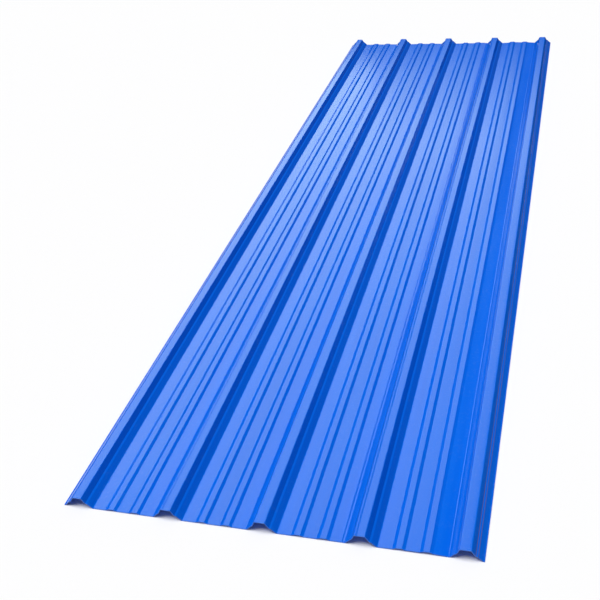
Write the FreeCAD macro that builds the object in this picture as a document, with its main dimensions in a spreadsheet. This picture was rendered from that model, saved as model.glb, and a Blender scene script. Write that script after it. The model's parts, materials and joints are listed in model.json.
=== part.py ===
import FreeCAD, Part
import os
import re

import Sketcher

# A ribbed roofing sheet, extruded in one piece from rigid PVC.
# X runs across the sheet, Y along its ribs and Z up. The origin is the middle of
# the underside, on the level that the pans and the two side lips lie on.

doc = FreeCAD.newDocument("RoofingSheet")

# Driving dimensions in millimetres. Heights are of the weather face over the pans,
# and "Out" distances are measured sideways from a rib's centre line.
drivingDimensions = {
    "sheetLength": 3000.0,
    "thickness": 2.0,
    "insideRadius": 2.0,         # of every fold, on its hollow side
    "bays": 4,                   # pans between the five ribs
    "pitch": 210.0,              # rib centre to rib centre
    "ribHeight": 25.0,
    "crestOut": 10.5,            # edge of the rib's flat top
    "shoulderOut": 18.0,         # upper edge of the step half way down a web
    "shoulderHeight": 13.0,
    "ledgeOut": 23.5,            # lower edge of that step
    "ledgeHeight": 10.5,
    "ribFootOut": 32.0,          # where the web meets the pan
    "lipOut": 35.5,              # cut side edge of the sheet
    "swageOut": 77.5,            # centre of the low stiffening swage in a pan
    "swageTop": 15.6,
    "swageBase": 23.6,
    "swageHeight": 2.5,
}

sheet = doc.addObject("Spreadsheet::Sheet", "Dimensions")
for row, (alias, value) in enumerate(drivingDimensions.items(), start=1):
    sheet.set("A%d" % row, alias)
    sheet.set("B%d" % row, str(value))
    sheet.setAlias("B%d" % row, alias)
doc.recompute()


def fromSheet(words):
    """Turn 'pitch - crestOut' into an expression on the spreadsheet's cells."""
    return re.sub(r"[A-Za-z]\w*", lambda match: "Dimensions." + match.group(0), words)


def originFeature(body, role):
    return next(item for item in body.Origin.OriginFeatures if item.Role == role)


# Corners of the weather face, before folding radii, from a rib's centre to its foot.
ribCorners = [
    ("crestOut", "thickness + ribHeight"),
    ("shoulderOut", "thickness + shoulderHeight"),
    ("ledgeOut", "thickness + ledgeHeight"),
    ("ribFootOut", "thickness"),
]


def swageCorners(centre):
    return [
        (centre + " - swageBase / 2", "thickness"),
        (centre + " - swageTop / 2", "thickness + swageHeight"),
        (centre + " + swageTop / 2", "thickness + swageHeight"),
        (centre + " + swageBase / 2", "thickness"),
    ]


# One bay runs from a rib's centre to the next one's, over a pan with two swages.
bayCorners = (
    ribCorners
    + swageCorners("swageOut")
    + swageCorners("pitch - swageOut")
    + [("pitch - " + across, height) for across, height in reversed(ribCorners)]
)


class Section:
    """A closed strip of constant thickness, folded along a row of corners."""

    def __init__(self, body, name, corners, end, left):
        self.sketch = body.newObject("Sketcher::SketchObject", name)
        self.sketch.AttachmentSupport = [(originFeature(body, "XZ_Plane"), "")]
        self.sketch.MapMode = "FlatFace"
        self.sketch.setExpression("AttachmentOffset.Base.x", fromSheet(left))
        self.corners = corners
        self.points = [
            FreeCAD.Vector(self.value(across), self.value(height), 0) for across, height in corners
        ]
        self.end = end
        self.draw()

    def value(self, words):
        return float(self.sketch.evalExpression(fromSheet(words)))

    def bind(self, words, *constraint):
        """Add a dimension whose value is an expression on the spreadsheet."""
        index = self.sketch.addConstraint(Sketcher.Constraint(*constraint, self.value(words)))
        self.sketch.setExpression("Constraints[%d]" % index, fromSheet(words))

    def fix(self, *constraint):
        self.sketch.addConstraint(Sketcher.Constraint(*constraint))

    def draw(self):
        weather = self.face(0.0)
        underside = self.face(self.value("thickness"))
        self.dimensionWeatherFace(*weather)
        self.followWeatherFace(weather, underside)
        self.closeEnd(weather[0][0], underside[0][0], 1)
        self.closeEnd(weather[0][-1], underside[0][-1], 2)

    def face(self, depth):
        """Straight runs and fold arcs of the face that lies depth below the weather face."""
        level = FreeCAD.Vector(0, 1, 0)
        first = FreeCAD.Vector(0, self.points[0].y, 0)
        last = FreeCAD.Vector(self.value(self.end), self.points[-1].y, 0)
        path = [first] + self.points + [last]
        inside = self.value("insideRadius")
        thickness = self.value("thickness")
        start = first - level * depth
        runs = []
        folds = []
        turns = []
        for before, corner, after in zip(path, path[1:], path[2:]):
            arriving = (corner - before).normalize()
            leaving = (after - corner).normalize()
            turnsUp = arriving.cross(leaving).z > 0
            side = 1 if turnsUp else -1
            weatherRadius = inside if turnsUp else inside + thickness
            normalIn = FreeCAD.Vector(-arriving.y, arriving.x, 0) * side
            normalOut = FreeCAD.Vector(-leaving.y, leaving.x, 0) * side
            centre = corner + (normalIn + normalOut) * (weatherRadius / (1 + normalIn.dot(normalOut)))
            radius = weatherRadius + depth * side
            foldStart = centre - normalIn * radius
            foldEnd = centre - normalOut * radius
            middle = centre - (normalIn + normalOut).normalize() * radius
            runs.append(self.sketch.addGeometry(Part.LineSegment(start, foldStart)))
            folds.append(self.sketch.addGeometry(Part.Arc(foldStart, middle, foldEnd)))
            turns.append(turnsUp)
            start = foldEnd
        runs.append(self.sketch.addGeometry(Part.LineSegment(start, last - level * depth)))
        for index, (fold, turnsUp) in enumerate(zip(folds, turns)):
            # an arc runs anticlockwise, so a downward turn is entered at its end
            entry, leave = (1, 2) if turnsUp else (2, 1)
            words = "insideRadius" if turnsUp == (depth == 0) else "insideRadius + thickness"
            self.fix("Tangent", runs[index], 2, fold, entry)
            self.fix("Tangent", fold, leave, runs[index + 1], 1)
            self.bind(words, "Radius", fold)
        return runs, folds

    def dimensionWeatherFace(self, runs, folds):
        heights = [height for across, height in self.corners]
        for index, (across, height) in enumerate(self.corners):
            point = self.sketch.addGeometry(Part.Point(self.points[index]), True)
            self.fix("PointOnObject", point, 1, runs[index])
            self.fix("PointOnObject", point, 1, runs[index + 1])
            self.bind(across, "DistanceX", -1, 1, point, 1)
            if index and heights[index - 1] == height:
                self.fix("Horizontal", runs[index])
            else:
                self.bind(height, "DistanceY", -1, 1, point, 1)
        self.fix("Horizontal", runs[0])
        self.fix("Horizontal", runs[-1])
        self.fix("PointOnObject", runs[0], 1, -2)
        self.bind(self.end, "DistanceX", -1, 1, runs[-1], 2)

    def followWeatherFace(self, weather, underside):
        for above, below in zip(weather[1], underside[1]):
            self.fix("Coincident", above, 3, below, 3)
        self.fix("Horizontal", underside[0][0])
        self.fix("Horizontal", underside[0][-1])

    def closeEnd(self, above, below, vertex):
        """Square cut through the thickness at one end of the strip."""
        geometry = self.sketch.Geometry
        ends = [
            geometry[run].StartPoint if vertex == 1 else geometry[run].EndPoint
            for run in (above, below)
        ]
        cut = self.sketch.addGeometry(Part.LineSegment(*ends))
        self.fix("Coincident", cut, 1, above, vertex)
        self.fix("Coincident", cut, 2, below, vertex)
        self.fix("Vertical", cut)


def extrude(body, name, section):
    pad = body.newObject("PartDesign::Pad", name)
    pad.Profile = section.sketch
    pad.SideType = "Symmetric"
    pad.setExpression("Length", fromSheet("sheetLength"))
    return pad


def roofingSheet():
    body = doc.addObject("PartDesign::Body", "RoofingSheetBody")
    body.Label = "roofing_sheet"
    body.Placement = FreeCAD.Placement()

    bay = extrude(body, "Bay", Section(body, "BaySection", bayCorners, "pitch", "-bays * pitch / 2"))
    doc.recompute()

    allBays = body.newObject("PartDesign::LinearPattern", "AllBays")
    allBays.Originals = [bay]
    allBays.Direction = (originFeature(body, "X_Axis"), [""])
    allBays.Mode = "Spacing"
    allBays.setExpression("Offset", fromSheet("pitch"))
    allBays.setExpression("Occurrences", fromSheet("bays"))
    body.Tip = allBays
    doc.recompute()

    # The outer half of the last rib, which ends in a short lip, and its mirror image.
    rightEdge = extrude(body, "RightEdge", Section(body, "EdgeSection", ribCorners, "lipOut", "bays * pitch / 2"))
    doc.recompute()

    leftEdge = body.newObject("PartDesign::Mirrored", "LeftEdge")
    leftEdge.Originals = [rightEdge]
    leftEdge.MirrorPlane = (originFeature(body, "YZ_Plane"), [""])
    body.Tip = leftEdge
    doc.recompute()
    return body


pieces = [roofingSheet()]

for item in doc.Objects:
    if "Invalid" in item.State or "Error" in item.State:
        raise RuntimeError("%s failed: %s" % (item.Name, item.State))

os.makedirs("parts", exist_ok=True)
for piece in pieces:
    shape = piece.Shape
    if shape.isNull() or not shape.isValid() or len(shape.Solids) != 1:
        raise RuntimeError("%s is not one valid solid" % piece.Label)
    shape.exportStep("parts/%s.step" % piece.Label)
    box = shape.BoundBox
    print("%s: %.1f x %.1f x %.1f mm, %.0f cm3, %d faces"
          % (piece.Label, box.XLength, box.YLength, box.ZLength, shape.Volume / 1000, len(shape.Faces)))
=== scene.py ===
import json
import math

import bpy
from mathutils import Matrix, Quaternion, Vector


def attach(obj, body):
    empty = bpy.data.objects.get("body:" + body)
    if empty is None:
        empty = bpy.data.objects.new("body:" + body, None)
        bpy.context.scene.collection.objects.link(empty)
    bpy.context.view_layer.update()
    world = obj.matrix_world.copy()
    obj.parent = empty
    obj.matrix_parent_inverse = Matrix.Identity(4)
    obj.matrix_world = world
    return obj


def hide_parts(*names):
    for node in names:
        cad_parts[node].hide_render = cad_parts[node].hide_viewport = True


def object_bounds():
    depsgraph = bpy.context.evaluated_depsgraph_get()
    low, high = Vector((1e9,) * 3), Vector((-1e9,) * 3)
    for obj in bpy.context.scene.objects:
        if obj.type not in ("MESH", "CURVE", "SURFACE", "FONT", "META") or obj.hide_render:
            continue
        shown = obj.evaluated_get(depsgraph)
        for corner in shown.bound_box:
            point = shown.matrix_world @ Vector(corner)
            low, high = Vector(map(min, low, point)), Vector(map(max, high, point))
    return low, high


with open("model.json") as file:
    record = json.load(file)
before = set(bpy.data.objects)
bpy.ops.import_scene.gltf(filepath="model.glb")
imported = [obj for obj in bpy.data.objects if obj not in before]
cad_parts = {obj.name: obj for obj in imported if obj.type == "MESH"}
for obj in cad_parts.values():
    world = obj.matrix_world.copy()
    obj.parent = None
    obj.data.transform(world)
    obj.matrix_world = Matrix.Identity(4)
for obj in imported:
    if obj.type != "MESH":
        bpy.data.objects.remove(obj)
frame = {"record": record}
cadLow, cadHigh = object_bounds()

# ribs and pans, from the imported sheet
mounts = {mount["name"]: mount for mount in frame["record"]["mounts"]}
ribCentres = [mounts[name]["pos_m"][0] for name in sorted(mounts) if name.startswith("crest_")]
bays = len(ribCentres) - 1
pitch = (ribCentres[-1] - ribCentres[0]) / bays
sheetLength = cadHigh.y - cadLow.y
crestTop = cadHigh.z

view = {
    "stands": (0.5600, -2.7194, 1.4373),
    "faces": (-0.1421, -0.6561, 0.002),
    "lens": 55.30,
    "roll": -6.912,             # degrees, the camera leans a little
    "farthest": 200,
}


def standCamera():
    lens = bpy.data.cameras.new("Camera")
    lens.lens = view["lens"]
    lens.clip_end = view["farthest"]
    stand = bpy.data.objects.new("Camera", lens)
    line = Vector(view["faces"]) - Vector(view["stands"])
    turn = line.to_track_quat("-Z", "Y") @ Quaternion((0, 0, 1), math.radians(view["roll"]))
    stand.matrix_world = Matrix.Translation(view["stands"]) @ turn.to_matrix().to_4x4()
    bpy.context.collection.objects.link(stand)
    bpy.context.scene.camera = stand


standCamera()
print("camera stands")

sheet = {
    "thickness": 0.002,
    "wall": 0.00195,            # a hair less, so the folds' undersides stay above the floor
    "endGap": 0.000005,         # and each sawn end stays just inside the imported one
    # section corners, out from a rib's centre and down from its crest
    "crestOut": 0.0105,
    "leftCrestOut": 0.0132,     # the crest is wider and the web steeper on the left
    "shoulderOut": 0.0183,
    "leftShoulderOut": 0.0192,
    "shoulderDrop": 0.0124,
    "ledgeOut": 0.0226,
    "ledgeDrop": 0.0146,
    "footOut": 0.0332,
    "lipOut": 0.0355,
    # folding radii on the weather face
    "crestFold": 0.0030,
    "webFold": 0.0015,
    "footFold": 0.0045,
    "swageFold": 0.0018,
    # two swages in each pan
    "swageOut": 0.0775,         # swage centre from the nearer rib's centre
    "swageTop": 0.0125,
    "swageLeftRun": 0.0074,
    "swageRightRun": 0.0068,
    "swageRise": 0.0031,
    "swageSwell": 0.4,          # mm it stands higher at the far end
    "swageSpread": 0.0012,      # and how much further out its left foot is there
    # fine lines along the sheet
    "fineWidth": 0.0036,
    # share of its width, share of its height
    "fineShape": ((0, 0), (0.06, 0.06), (0.47, 1), (0.53, 1), (0.94, 0.06), (1, 0)),
    "rollOut": 0.0403,          # a fine roll just outside a rib's left foot
    "grooveOut": 0.0098,        # a fine groove inside its crest's left fold
    # bay by bay, in mm
    "rolls": (0.0, 0.1, 0.5, 0.0),
    "grooves": (0.25, 0.15, 0.5, 0.0),
    "ridgeNear": (0.1, 0.1, 0.1, 2.2),      # the second swage is bowed up, at the near and far end
    "ridgeFar": (0.2, 0.3, 0.5, 2.0),
    "archNear": (0.0, 0.0, 0.0, 0.5),       # the middle strip is bowed up
    "archFar": (0.2, 0.2, 0.3, 1.8),
    "brinkNear": (0.0, 0.0, 0.0, 0.0),      # the last strip swells before the next rib
    "brinkFar": (0.2, 0.5, 2.2, 0.0),
    # where those bows start, peak and end across a pan, 0 at its left foot and 1 at its right
    "archSpan": (0.0, 0.45, 0.62),
    "brinkSpan": (0.55, 0.87, 1.0),
    "slackRise": 3.0,           # how fast the waviness grows inwards from both feet
    "buckleHigh": 0.5,          # mm of slow waviness between the ribs
    "buckleAcross": 0.22,
    "buckleAlong": 0.55,
    "buckleNoise": (0.25, 0.75),        # the noise values taken as level and as fully up
    "seed": 7,
    # mesh
    "foldPoints": 3,
    "stations": 91,             # cross sections along the length
    "flatStep": 0.008,          # plain points across the flats
    "weld": 0.00005,
    "cutArris": 0.0002,
    "arrisAngle": 60,
}


def panPlace(x):
    return min(max((x - sheet["footOut"]) / (pitch - 2 * sheet["footOut"]), 0), 1)


def hat(place, rises, peak, falls):
    if place <= rises or place >= falls:
        return 0.0
    return (place - rises) / (peak - rises) if place < peak else (falls - place) / (falls - peak)


def corner(x, z, fold=0.0, groove=0.0, roll=0.0, rub=0.0, spread=0.0, swell=0.0, inPan=True):
    place = panPlace(x) if inPan else 0.0
    swageEnd = panPlace(pitch - sheet["swageOut"] + sheet["swageTop"] / 2 + sheet["swageRightRun"])
    return {
        "at": (x, -z, 0),       # the run along +Y turns the section's own Y downwards
        "foldRadius": fold,
        "groove": groove,
        "roll": roll,
        "rub": rub,
        "spread": spread,
        "swell": swell,
        "ridge": hat(place, 0, swageEnd, 1),
        "arch": hat(place, *sheet["archSpan"]),
        "brink": hat(place, *sheet["brinkSpan"]),
        "slack": min(1, sheet["slackRise"] * place, sheet["slackRise"] * (1 - place)),
    }


def halfRib(crestOut, shoulderOut):
    # how far out, how high, fold radius, and which rubbed line it carries on the outer ribs
    return [
        (crestOut, crestTop, sheet["crestFold"], 0.0),
        (shoulderOut, crestTop - sheet["shoulderDrop"], sheet["webFold"], 1.0),
        (sheet["ledgeOut"], crestTop - sheet["ledgeDrop"], sheet["webFold"], -1.0),
        (sheet["footOut"], sheet["thickness"], sheet["footFold"], 0.0),
    ]


def fineLine(out, z, kind):
    # two narrow slopes, each pinned by a hair's breadth at its ends
    return [corner(pitch - out + sheet["fineWidth"] * part, z, **{kind: much})
            for part, much in sheet["fineShape"]]


def swage(centre):
    low = sheet["thickness"]
    high = low + sheet["swageRise"]
    half, fold = sheet["swageTop"] / 2, sheet["swageFold"]
    spread, swell = sheet["swageSpread"], sheet["swageSwell"]
    return [
        corner(centre - half - sheet["swageLeftRun"], low, fold, spread=-spread),
        corner(centre - half, high, fold, swell=swell),
        corner(centre + half, high, fold, swell=swell),
        corner(centre + half + sheet["swageRightRun"], low, fold, spread=spread / 2),
    ]


def addTrait(mesh, name, numbers):
    mesh.attributes.new(name, "FLOAT", "POINT").data.foreach_set("value", numbers)


def sectionLine(name, corners):
    mesh = bpy.data.meshes.new(name)
    mesh.from_pydata([c["at"] for c in corners], [(i, i + 1) for i in range(len(corners) - 1)], [])
    for key in corners[0]:
        if key != "at":
            addTrait(mesh, key, [c[key] for c in corners])
    line = bpy.data.objects.new(name, mesh)
    bpy.context.collection.objects.link(line)
    return line


def bayLine():
    low = sheet["thickness"]
    rightHalf = halfRib(sheet["crestOut"], sheet["shoulderOut"])
    leftHalf = halfRib(sheet["leftCrestOut"], sheet["leftShoulderOut"])
    corners = [corner(0, crestTop)]
    corners += [corner(out, z, fold) for out, z, fold, _ in rightHalf]
    corners += swage(sheet["swageOut"]) + swage(pitch - sheet["swageOut"])
    corners += fineLine(sheet["rollOut"], low, "roll")
    corners += [corner(pitch - out, z, fold) for out, z, fold, _ in reversed(leftHalf)]
    corners += fineLine(sheet["grooveOut"], crestTop, "groove")
    corners.append(corner(pitch, crestTop))
    # plain points between the folds let the flats bow
    whole = []
    for one, two in zip(corners, corners[1:]):
        whole.append(one)
        x1, down1, _ = one["at"]
        x2, down2, _ = two["at"]
        if down1 == down2 == -low:
            steps = max(1, round((x2 - x1) / sheet["flatStep"]))
            whole += [corner(x1 + (x2 - x1) * i / steps, low) for i in range(1, steps)]
    whole.append(corners[-1])
    return sectionLine("OneBay", whole)


def outerLine():
    corners = [corner(0, crestTop, inPan=False)]
    for out, z, fold, rub in halfRib(sheet["crestOut"], sheet["shoulderOut"]):
        corners.append(corner(out, z, fold, rub=rub, inPan=False))
    corners.append(corner(sheet["lipOut"], sheet["thickness"], inPan=False))
    return sectionLine("OuterHalfRib", corners)


def bayStarts():
    mesh = bpy.data.meshes.new("RibbedSheet")
    mesh.from_pydata([(ribCentres[i], 0, 0) for i in range(bays)], [], [])
    for name in ("grooves", "rolls", "ridgeNear", "ridgeFar", "archNear", "archFar", "brinkNear", "brinkFar"):
        addTrait(mesh, name, sheet[name])
    starts = bpy.data.objects.new("RibbedSheet", mesh)
    bpy.context.collection.objects.link(starts)
    return starts


def add(tree, kind, inputs=None, **settings):
    node = tree.nodes.new(kind)
    for name, value in settings.items():
        setattr(node, name, value)
    for socket, value in (inputs or {}).items():
        if isinstance(value, bpy.types.NodeSocket):
            tree.links.new(value, node.inputs[socket])
        else:
            node.inputs[socket].default_value = value
    return node


def calc(tree, operation, one, two=0.0):
    return add(tree, "ShaderNodeMath", {0: one, 1: two}, operation=operation).outputs[0]


def times(tree, *values):
    result = values[0]
    for value in values[1:]:
        result = calc(tree, "MULTIPLY", result, value)
    return result


def plus(tree, *values):
    result = values[0]
    for value in values[1:]:
        result = calc(tree, "ADD", result, value)
    return result


def remap(tree, value, low, high, least=0.0, most=1.0, curve="LINEAR"):
    return add(tree, "ShaderNodeMapRange", {
        "Value": value, "From Min": low, "From Max": high, "To Min": least, "To Max": most},
        interpolation_type=curve).outputs[0]


def ribbedSheetTree():
    tree = bpy.data.node_groups.new("RibbedSheet", "GeometryNodeTree")
    tree.is_modifier = True
    ask = tree.interface
    ask.new_socket("Geometry", in_out="INPUT", socket_type="NodeSocketGeometry")
    for name, kind in (
        ("Bay", "NodeSocketObject"),
        ("Outer Half Rib", "NodeSocketObject"),
        ("Width Between Outer Ribs", "NodeSocketFloat"),
        ("Length", "NodeSocketFloat"),
        ("Fold Points", "NodeSocketInt"),
        ("Stations", "NodeSocketInt"),
        ("Weld", "NodeSocketFloat"),
        ("Buckle", "NodeSocketFloat"),
        ("Buckle Across", "NodeSocketFloat"),
        ("Buckle Along", "NodeSocketFloat"),
        ("Seed", "NodeSocketFloat"),
        ("Finish", "NodeSocketMaterial"),
    ):
        ask.new_socket(name, in_out="INPUT", socket_type=kind)
    ask.new_socket("Geometry", in_out="OUTPUT", socket_type="NodeSocketGeometry")
    given = add(tree, "NodeGroupInput").outputs

    def trait(name):
        return add(tree, "GeometryNodeInputNamedAttribute", {"Name": name}, data_type="FLOAT").outputs[0]

    # whole section: the bays side by side, with half a rib outside each end
    bay = add(tree, "GeometryNodeObjectInfo", {"Object": given["Bay"]}).outputs["Geometry"]
    outer = add(tree, "GeometryNodeObjectInfo", {"Object": given["Outer Half Rib"]}).outputs["Geometry"]
    row = add(tree, "GeometryNodeInstanceOnPoints", {"Points": given["Geometry"], "Instance": bay})
    halfWidth = times(tree, given["Width Between Outer Ribs"], 0.5)
    right = add(tree, "ShaderNodeCombineXYZ", {"X": halfWidth})
    left = add(tree, "ShaderNodeCombineXYZ", {"X": times(tree, halfWidth, -1)})
    rightHalf = add(tree, "GeometryNodeTransform", {"Geometry": outer, "Translation": right.outputs[0]})
    leftHalf = add(tree, "GeometryNodeTransform",
                   {"Geometry": outer, "Translation": left.outputs[0], "Scale": (-1, 1, 1)})
    join = add(tree, "GeometryNodeJoinGeometry")
    for piece in (row, rightHalf, leftHalf):
        tree.links.new(piece.outputs[0], join.inputs[0])
    loose = add(tree, "GeometryNodeRealizeInstances", {"Geometry": join.outputs[0]})
    whole = add(tree, "GeometryNodeMergeByDistance",
                {"Geometry": loose.outputs[0], "Distance": given["Weld"]})
    line = add(tree, "GeometryNodeMeshToCurve", {"Mesh": whole.outputs[0]})
    folded = add(tree, "GeometryNodeFilletCurve",
                 {"Curve": line.outputs[0], "Count": given["Fold Points"],
                  "Radius": trait("foldRadius"), "Limit Radius": True}, mode="POLY")

    # run the section along the length
    halfLength = times(tree, given["Length"], 0.5)
    near = add(tree, "ShaderNodeCombineXYZ", {"Y": times(tree, halfLength, -1)})
    far = add(tree, "ShaderNodeCombineXYZ", {"Y": halfLength})
    run = add(tree, "GeometryNodeCurvePrimitiveLine", {"Start": near.outputs[0], "End": far.outputs[0]})
    stations = add(tree, "GeometryNodeResampleCurve", {"Curve": run.outputs[0], "Count": given["Stations"]})
    skin = add(tree, "GeometryNodeCurveToMesh",
               {"Curve": stations.outputs[0], "Profile Curve": folded.outputs[0]})

    place = add(tree, "GeometryNodeInputPosition").outputs[0]
    split = add(tree, "ShaderNodeSeparateXYZ", {0: place})
    along = plus(tree, calc(tree, "DIVIDE", split.outputs["Y"], given["Length"]), 0.5)

    # slow waviness of the pans, drawn out along the sheet
    squeeze = add(tree, "ShaderNodeCombineXYZ", {
        "X": calc(tree, "DIVIDE", split.outputs["X"], given["Buckle Across"]),
        "Y": calc(tree, "DIVIDE", split.outputs["Y"], given["Buckle Along"]),
        "Z": given["Seed"]})
    waves = add(tree, "ShaderNodeTexNoise", {"Vector": squeeze.outputs[0], "Scale": 1.0, "Detail": 1.0})
    wave = remap(tree, waves.outputs[0], *sheet["buckleNoise"])
    buckle = times(tree, wave, given["Buckle"], trait("slack"))
    groove = times(tree, trait("groove"), trait("grooves"))
    roll = times(tree, trait("roll"), trait("rolls"))
    lift = plus(tree, calc(tree, "SUBTRACT", roll, groove), buckle)

    # each pan's own bows, changing from the near end to the far end
    for bow in ("ridge", "arch", "brink"):
        most = remap(tree, along, 0.0, 1.0, trait(bow + "Near"), trait(bow + "Far"), "SMOOTHSTEP")
        lift = plus(tree, lift, times(tree, trait(bow), most))
    lift = plus(tree, lift, times(tree, trait("swell"), along))
    moved = add(tree, "ShaderNodeCombineXYZ", {
        "X": times(tree, trait("spread"), along),
        "Z": times(tree, lift, 0.001)})     # mm to metres
    shape = add(tree, "GeometryNodeSetPosition", {"Geometry": skin.outputs[0], "Offset": moved.outputs[0]})
    smooth = add(tree, "GeometryNodeSetShadeSmooth", {"Geometry": shape.outputs[0]})
    real = add(tree, "GeometryNodeRealizeInstances", {"Geometry": smooth.outputs[0]})
    painted = add(tree, "GeometryNodeSetMaterial", {"Geometry": real.outputs[0], "Material": given["Finish"]})
    add(tree, "NodeGroupOutput", {0: painted.outputs[0]})
    return tree


def setInput(modifier, name, value):
    for item in modifier.node_group.interface.items_tree:
        if item.item_type == "SOCKET" and item.in_out == "INPUT" and item.name == name:
            modifier[item.identifier] = value


finish = {
    "blue": (0.0, 0.128, 0.755, 1),
    "freshBlue": (0.0, 0.141, 0.79, 1),
    "dust": (0.42, 0.52, 0.68, 1),
    "dustAmount": 0.05,
    "rubbed": (0.11, 0.11, 0.36, 1),   # where the outer rib's folds have been rubbed
    "rubbedAmount": 0.9,
    "rubbedWidth": (0.86, 0.95),       # fading in and full, 1 on the fold itself
    "cutEnd": (0.05, 0.16, 0.60, 1),
    "cutEndDepth": 0.00015,
    "coatIor": 1.32,
    "smoothest": 0.09,         # roughness where it's cleanest
    "dullest": 0.15,
    "dustDulls": 0.05,
    "wearDulls": 0.15,
    # how many to a metre across, along and up
    "patches": (3.5, 1.1, 3.5),
    "streaks": (55, 1.6, 55),
    "specks": (160, 110, 160),
    "rubbedBreaks": (20, 9, 20),
    # noise values from which each sets in and where it is full, with its least and most
    "speckRange": (0.52, 0.75),
    "dustRange": (0.35, 0.65, 0.3, 1.0),
    "freshRange": (0.8, 1.2),
    "breakRange": (0.35, 0.6, 0.4),
    "sawnRange": (0.35, 0.6, 0.4, 1.0),
    "dullRange": (0.38, 0.62),
    "orangePeel": 0.035,
    "orangePeelSize": (420, 420, 420),
    "orangePeelHigh": 0.001,
}


def glossyBlue():
    blue = bpy.data.materials.new("Glossy blue sheet")
    blue.use_nodes = True
    tree = blue.node_tree
    bsdf = tree.nodes["Principled BSDF"]
    bsdf.inputs["IOR"].default_value = finish["coatIor"]
    place = add(tree, "ShaderNodeTexCoord").outputs["Object"]
    split = add(tree, "ShaderNodeSeparateXYZ", {0: place})

    def noise(stretch, detail=3.0, roughness=0.55):
        drawn = add(tree, "ShaderNodeMapping", {"Vector": place, "Scale": stretch})
        return add(tree, "ShaderNodeTexNoise", {
            "Vector": drawn.outputs[0], "Scale": 1.0, "Detail": detail, "Roughness": roughness}).outputs[0]

    def mix(factor, one, two):
        return add(tree, "ShaderNodeMix", {0: factor, 6: one, 7: two}, data_type="RGBA").outputs[2]

    patches = noise(finish["patches"])
    streaks = noise(finish["streaks"], detail=4.0)
    specks = noise(finish["specks"], detail=6.0, roughness=0.7)
    thickDust = remap(tree, patches, *finish["dustRange"])
    dusty = times(tree, remap(tree, specks, *finish["speckRange"]), thickDust)
    fresh = remap(tree, plus(tree, patches, streaks), *finish["freshRange"])
    colour = mix(fresh, finish["blue"], finish["freshBlue"])
    colour = mix(times(tree, dusty, finish["dustAmount"]), colour, finish["dust"])

    # thin rubbed lines along the outer folds of the last rib
    fold = calc(tree, "ABSOLUTE", add(tree, "ShaderNodeAttribute", attribute_name="rub").outputs["Fac"])
    lastRib = calc(tree, "GREATER_THAN", split.outputs["X"], 0.0)
    worn = noise(finish["rubbedBreaks"], detail=5.0)
    breaks = remap(tree, worn, *finish["breakRange"], finish["rubbedAmount"])
    rubbed = times(tree, remap(tree, fold, *finish["rubbedWidth"]), lastRib, breaks)
    colour = mix(rubbed, colour, finish["rubbed"])

    # sawn ends are a little paler and matt
    fromMiddle = calc(tree, "ABSOLUTE", split.outputs["Y"])
    sawn = calc(tree, "GREATER_THAN", fromMiddle, sheetLength / 2 - finish["cutEndDepth"])
    colour = mix(times(tree, sawn, remap(tree, specks, *finish["sawnRange"])), colour, finish["cutEnd"])

    grime = plus(tree, times(tree, patches, 0.5), times(tree, streaks, 0.5))
    dull = remap(tree, grime, *finish["dullRange"], finish["smoothest"], finish["dullest"])
    dull = plus(tree, dull, times(tree, dusty, finish["dustDulls"]))
    dull = plus(tree, dull, times(tree, calc(tree, "MAXIMUM", rubbed, sawn), finish["wearDulls"]))
    tree.links.new(colour, bsdf.inputs["Base Color"])
    tree.links.new(dull, bsdf.inputs["Roughness"])

    peel = noise(finish["orangePeelSize"], detail=2.0)
    relief = plus(tree, times(tree, peel, finish["orangePeel"]), times(tree, streaks, finish["orangePeel"]))
    bump = add(tree, "ShaderNodeBump", {
        "Height": relief, "Strength": 1.0, "Distance": finish["orangePeelHigh"]})
    tree.links.new(bump.outputs[0], bsdf.inputs["Normal"])
    return blue


def makeSheet():
    starts = bayStarts()
    parts = [bayLine(), outerLine()]
    modifier = starts.modifiers.new("Ribbed sheet", "NODES")
    modifier.node_group = ribbedSheetTree()
    for name, value in (
        ("Bay", parts[0]),
        ("Outer Half Rib", parts[1]),
        ("Width Between Outer Ribs", ribCentres[-1] - ribCentres[0]),
        ("Length", sheetLength - 2 * sheet["endGap"]),
        ("Fold Points", sheet["foldPoints"]),
        ("Stations", sheet["stations"]),
        ("Weld", sheet["weld"]),
        ("Buckle", sheet["buckleHigh"]),
        ("Buckle Across", sheet["buckleAcross"]),
        ("Buckle Along", sheet["buckleAlong"]),
        ("Seed", float(sheet["seed"])),
        ("Finish", glossyBlue()),
    ):
        setInput(modifier, name, value)
    graph = bpy.context.evaluated_depsgraph_get()
    graph.update()
    mesh = bpy.data.meshes.new_from_object(starts.evaluated_get(graph))
    starts.modifiers.remove(modifier)
    starts.data = mesh
    for part in parts:
        bpy.data.objects.remove(part)
    if sum(face.normal.z * face.area for face in mesh.polygons) < 0:
        mesh.flip_normals()     # the weather face looks up
    return starts


roofingSheet = makeSheet()
wall = roofingSheet.modifiers.new("Wall", "SOLIDIFY")
wall.thickness = sheet["wall"]
wall.offset = -1
wall.use_even_offset = True
arris = roofingSheet.modifiers.new("Cut arris", "BEVEL")
arris.width = sheet["cutArris"]
arris.segments = 1
arris.limit_method = "ANGLE"
arris.angle_limit = math.radians(sheet["arrisAngle"])
crisp = roofingSheet.modifiers.new("Crisp flats", "WEIGHTED_NORMAL")
crisp.mode = "FACE_AREA"
crisp.weight = 100
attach(roofingSheet, "root")
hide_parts("roofing_sheet")
print("sheet made")

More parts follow.
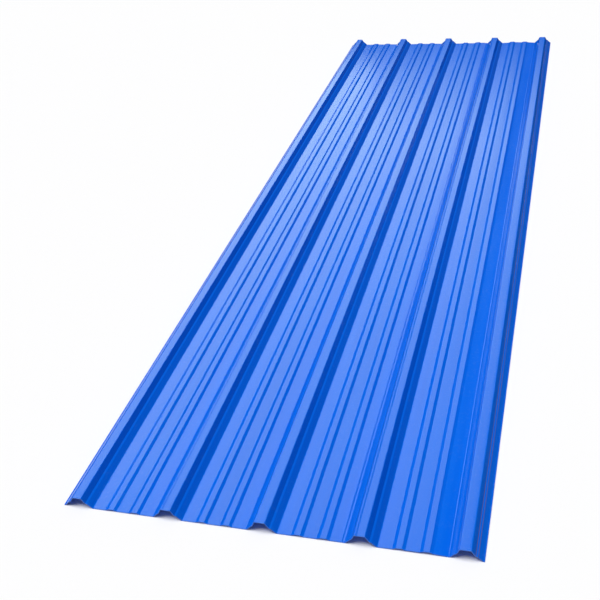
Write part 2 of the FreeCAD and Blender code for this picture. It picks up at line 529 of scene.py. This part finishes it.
studio = {
    "floorColour": (0.93, 0.93, 0.93, 1),
    "floorHalf": 60,
    "backdrop": (1, 1, 1, 1),
    "roomColour": (0.15, 0.15, 0.155, 1),
    "roomInGloss": (0.04, 0.04, 0.042, 1),  # what the gloss sees of the room
    "keyStrength": 3.0,
    "keyFrom": (-0.28, -0.10, 1.0),
    "keyAngle": 40,
    # dark cards around the sheet, seen by its gloss alone: their sides, then near and far edges
    "cards": (
        ("DarkCardRight", 0.47, 9.0, -4.0, 11.0),
        ("DarkCardLeft", -9.0, -0.47, -4.0, 11.0),
        ("DarkCardBeyond", -0.47, 0.47, 1.52, 11.0),
    ),
    "cardHigh": 0.0008,
    "cardColour": (0.004, 0.004, 0.005, 1),
    # a tall screen behind the far end, seen by the gloss alone too
    "softboxAway": 12.0,
    "softboxCorners": ((-2.85, 3.1), (0.38, 3.1), (-0.75, 17.0), (-15.0, 17.0)),    # across, up
    "softboxColour": (0.93, 1.12, 0.87, 1),
    "softboxDim": 2.95,         # strength at its right side, then at its left
    "softboxBright": 4.6,
    "softboxSides": (-0.05, -0.75),         # across for each metre up
    "softboxFoot": 0.78,        # times as strong at its foot
    "softboxFall": (4.5, 14.0),             # full from the second height up
    "softboxFadeRight": (3.35, 5.2),        # its lower edge fades out between these heights
    "softboxFadeLeft": (3.6, 4.2),
    "softboxFadeTurn": (-0.54, -0.67),      # and the right fade turns into the left one here
}


def aim(thing, away):
    thing.rotation_mode = "QUATERNION"
    thing.rotation_quaternion = Vector(away).to_track_quat("Z", "Y")


def flatPiece(name, corners, material):
    mesh = bpy.data.meshes.new(name)
    mesh.from_pydata(corners, [], [tuple(range(len(corners)))])
    mesh.materials.append(material)
    piece = bpy.data.objects.new(name, mesh)
    bpy.context.collection.objects.link(piece)
    return piece


def softboxGlow():
    glow = bpy.data.materials.new("Softbox glow")
    glow.use_nodes = True
    tree = glow.node_tree
    tree.nodes.clear()
    place = add(tree, "ShaderNodeTexCoord").outputs["Object"]
    split = add(tree, "ShaderNodeSeparateXYZ", {0: place})
    up = split.outputs["Z"]
    lean = calc(tree, "DIVIDE", split.outputs["X"], up)
    side = remap(tree, lean, *studio["softboxSides"], studio["softboxDim"], studio["softboxBright"])
    fades = zip(studio["softboxFadeRight"], studio["softboxFadeLeft"])
    fadeEnds = [remap(tree, lean, *studio["softboxFadeTurn"], right, left) for right, left in fades]
    fade = remap(tree, up, *fadeEnds)
    fall = remap(tree, up, *studio["softboxFall"], studio["softboxFoot"], 1.0)
    shine = add(tree, "ShaderNodeEmission", {
        "Color": studio["softboxColour"], "Strength": times(tree, side, times(tree, fade, fall))})
    add(tree, "ShaderNodeOutputMaterial", {"Surface": shine.outputs[0]})
    return glow


def mattPaint(name, colour):
    paint = bpy.data.materials.new(name)
    paint.use_nodes = True
    bsdf = paint.node_tree.nodes["Principled BSDF"]
    bsdf.inputs["Base Color"].default_value = colour
    bsdf.inputs["Specular IOR Level"].default_value = 0.0
    return paint


def layFloorAndCards():
    half = studio["floorHalf"]
    pale = mattPaint("Pale floor", studio["floorColour"])
    pale.node_tree.nodes["Principled BSDF"].inputs["Roughness"].default_value = 1.0
    flatPiece("Floor", [(-half, -half, 0), (half, -half, 0), (half, half, 0), (-half, half, 0)], pale)
    dark = mattPaint("Dark card", studio["cardColour"])
    high = studio["cardHigh"]
    for name, left, right, near, far in studio["cards"]:
        card = flatPiece(name, [(left, near, high), (right, near, high), (right, far, high),
                                (left, far, high)], dark)
        card.visible_camera = card.visible_diffuse = card.visible_shadow = False


def hangLights():
    away = studio["softboxAway"]
    box = flatPiece("Softbox", [(x, away, z) for x, z in studio["softboxCorners"]], softboxGlow())
    box.visible_camera = box.visible_diffuse = False

    world = bpy.data.worlds.new("Room")
    world.use_nodes = True
    tree = world.node_tree
    ray = add(tree, "ShaderNodeLightPath").outputs
    fill = add(tree, "ShaderNodeMix", {
        0: ray["Is Glossy Ray"], 6: studio["roomColour"], 7: studio["roomInGloss"]}, data_type="RGBA")
    room = add(tree, "ShaderNodeMix", {
        0: ray["Is Camera Ray"], 6: fill.outputs[2], 7: studio["backdrop"]}, data_type="RGBA")
    tree.links.new(room.outputs[2], tree.nodes["Background"].inputs["Color"])
    bpy.context.scene.world = world

    sun = bpy.data.lights.new("Key", "SUN")
    sun.energy = studio["keyStrength"]
    sun.angle = math.radians(studio["keyAngle"])
    key = bpy.data.objects.new("Key", sun)
    aim(key, studio["keyFrom"])
    bpy.context.collection.objects.link(key)


layFloorAndCards()
hangLights()
bpy.context.scene.view_settings.view_transform = "Standard"
print("studio lit")
